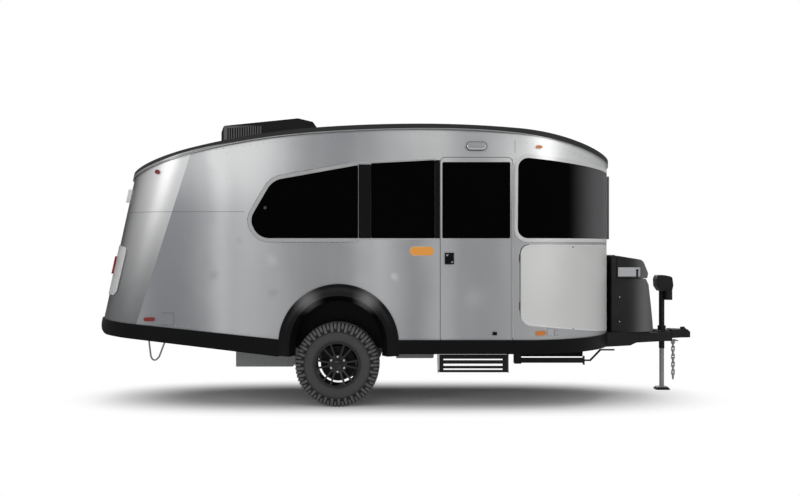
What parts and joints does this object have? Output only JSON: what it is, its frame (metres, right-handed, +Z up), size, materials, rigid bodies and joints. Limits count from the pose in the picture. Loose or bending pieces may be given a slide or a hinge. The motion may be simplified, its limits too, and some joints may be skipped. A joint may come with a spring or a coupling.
{
  "type": "travel caravan",
  "caption": "Single-axle travel caravan: riveted aluminium shell with wraparound nose windows, A-frame tongue, entry door, tail hatch, fold-down step and tongue jack",
  "frame": {"origin": "centre of the overall length and width, on the road", "axes": "+X forward to the coupler, +Y to the left side, +Z up"},
  "size_m": [5.9112, 2.2046, 2.7873],
  "materials": {
    "amber_lens": "amber lens",
    "black_moulding": "satin black plastic",
    "bright_steel": "zinc plated",
    "chassis_paint": "black satin paint",
    "chrome": "polished",
    "dark_glass": "deep tinted",
    "edge_moulding": "grey ribbed edge extrusion",
    "floor_board": "sealed board",
    "frame_silver": "bright satin",
    "galvanised": "dull galvanised",
    "guard_sheet": "satin warm grey",
    "lamp_housing": "light silver housing",
    "red_lens": "red lens",
    "rim_black": "gloss black alloy",
    "roof_skin": "matt white-grey sheet",
    "shell_aluminium": "brushed sheet, satin",
    "tyre_rubber": "matt black rubber",
    "unit_black": "textured black plastic"
  },
  "bodies": {
    "caravan": {"air_conditioner": "unit_black", "amber_plate": "amber_lens", "axle_beam": "chassis_paint", "chassis_frame": "chassis_paint", "corner_glass": "dark_glass", "coupler": "chassis_paint", "coupler_latch": "bright_steel", "door_hinge": "bright_steel", "floor_panel": "floor_board", "front_wall": "shell_aluminium", "gas_locker": "unit_black", "hatch_hinge": "bright_steel", "jack_motor_head": "unit_black", "jack_outer_tube": "chassis_paint", "lower_moulding": "black_moulding", "marker_lamps_amber": "amber_lens", "marker_lamps_red": "red_lens", "nose_glass": "dark_glass", "porch_lamp": "chrome", "rear_wall": "shell_aluminium", "roof_edge_moulding": "edge_moulding", "roof_panel": "roof_skin", "safety_chains": "bright_steel", "side_glass_left": "dark_glass", "side_glass_right": "dark_glass", "side_wall_left": "shell_aluminium", "side_wall_right": "shell_aluminium", "stabiliser_mounts": "chassis_paint", "step_frame": "chassis_paint", "stone_guards": "guard_sheet", "tail_lamp_housings": "lamp_housing", "tail_lamp_lenses": "red_lens", "tail_loop": "bright_steel", "tail_work_lamps": "lamp_housing", "underfloor_tanks": "galvanised", "utility_inlets": "lamp_housing", "wheel_flares": "black_moulding", "wheel_housings": "black_moulding", "window_frames": "frame_silver", "window_pillars": "black_moulding"},
    "door": {"door_leaf": "shell_aluminium", "door_glass": "dark_glass", "door_handle": "unit_black", "door_holdback": "bright_steel"},
    "hatch": {"hatch_leaf": "shell_aluminium", "hatch_glass": "dark_glass", "hatch_handle": "unit_black"},
    "step": {"step_tread": "chassis_paint"},
    "jack": {"jack_leg": "bright_steel"},
    "locker_lid": {"gas_locker_lid": "unit_black"},
    "wheel_right": {"tyre_right": "tyre_rubber", "rim_right": "rim_black", "drum_right": "chassis_paint"},
    "wheel_left": {"tyre_left": "tyre_rubber", "rim_left": "rim_black", "drum_left": "chassis_paint"},
    "stabiliser_front_right": {"stabiliser_front_right": "chassis_paint"},
    "stabiliser_front_left": {"stabiliser_front_left": "chassis_paint"},
    "stabiliser_rear_right": {"stabiliser_rear_right": "chassis_paint"},
    "stabiliser_rear_left": {"stabiliser_rear_left": "chassis_paint"}
  },
  "joints": [
    {"name": "wheel_right_spin", "type": "hinge", "parent": "caravan", "child": "wheel_right", "pos_m": [-0.666, -0.8975, 0.392], "axis": [0, 1, 0], "continuous": true},
    {"name": "wheel_left_spin", "type": "hinge", "parent": "caravan", "child": "wheel_left", "pos_m": [-0.666, 0.8975, 0.392], "axis": [0, 1, 0], "continuous": true},
    {"name": "jack_slide", "type": "slide", "parent": "caravan", "child": "jack", "axis": [0, 0, 1], "range_m": [0, 0.38]},
    {"name": "door_hinge", "type": "hinge", "parent": "caravan", "child": "door", "pos_m": [0.9595, -1.058, 1.47], "axis": [0, 0, 1], "range_deg": [0, 150]},
    {"name": "hatch_hinge", "type": "hinge", "parent": "caravan", "child": "hatch", "pos_m": [-2.7166, 0, 2.0432], "axis": [0, 1, 0], "range_deg": [0, 75]},
    {"name": "locker_lid_hinge", "type": "hinge", "parent": "caravan", "child": "locker_lid", "pos_m": [2.1075, 0, 1.404], "axis": [0, -1, 0], "range_deg": [0, 90]},
    {"name": "step_hinge", "type": "hinge", "parent": "caravan", "child": "step", "pos_m": [0.5995, -0.985, 0.336], "axis": [1, 0, 0], "range_deg": [0, 90]},
    {"name": "stabiliser_front_right_hinge", "type": "hinge", "parent": "caravan", "child": "stabiliser_front_right", "pos_m": [1.058, -0.655, 0.39], "axis": [0, 1, 0], "range_deg": [0, 34]},
    {"name": "stabiliser_front_left_hinge", "type": "hinge", "parent": "caravan", "child": "stabiliser_front_left", "pos_m": [1.058, 0.655, 0.39], "axis": [0, 1, 0], "range_deg": [0, 34]},
    {"name": "stabiliser_rear_right_hinge", "type": "hinge", "parent": "caravan", "child": "stabiliser_rear_right", "pos_m": [-1.75, -0.655, 0.586], "axis": [0, -1, 0], "range_deg": [0, 75]},
    {"name": "stabiliser_rear_left_hinge", "type": "hinge", "parent": "caravan", "child": "stabiliser_rear_left", "pos_m": [-1.75, 0.655, 0.586], "axis": [0, -1, 0], "range_deg": [0, 75]}
  ]
}
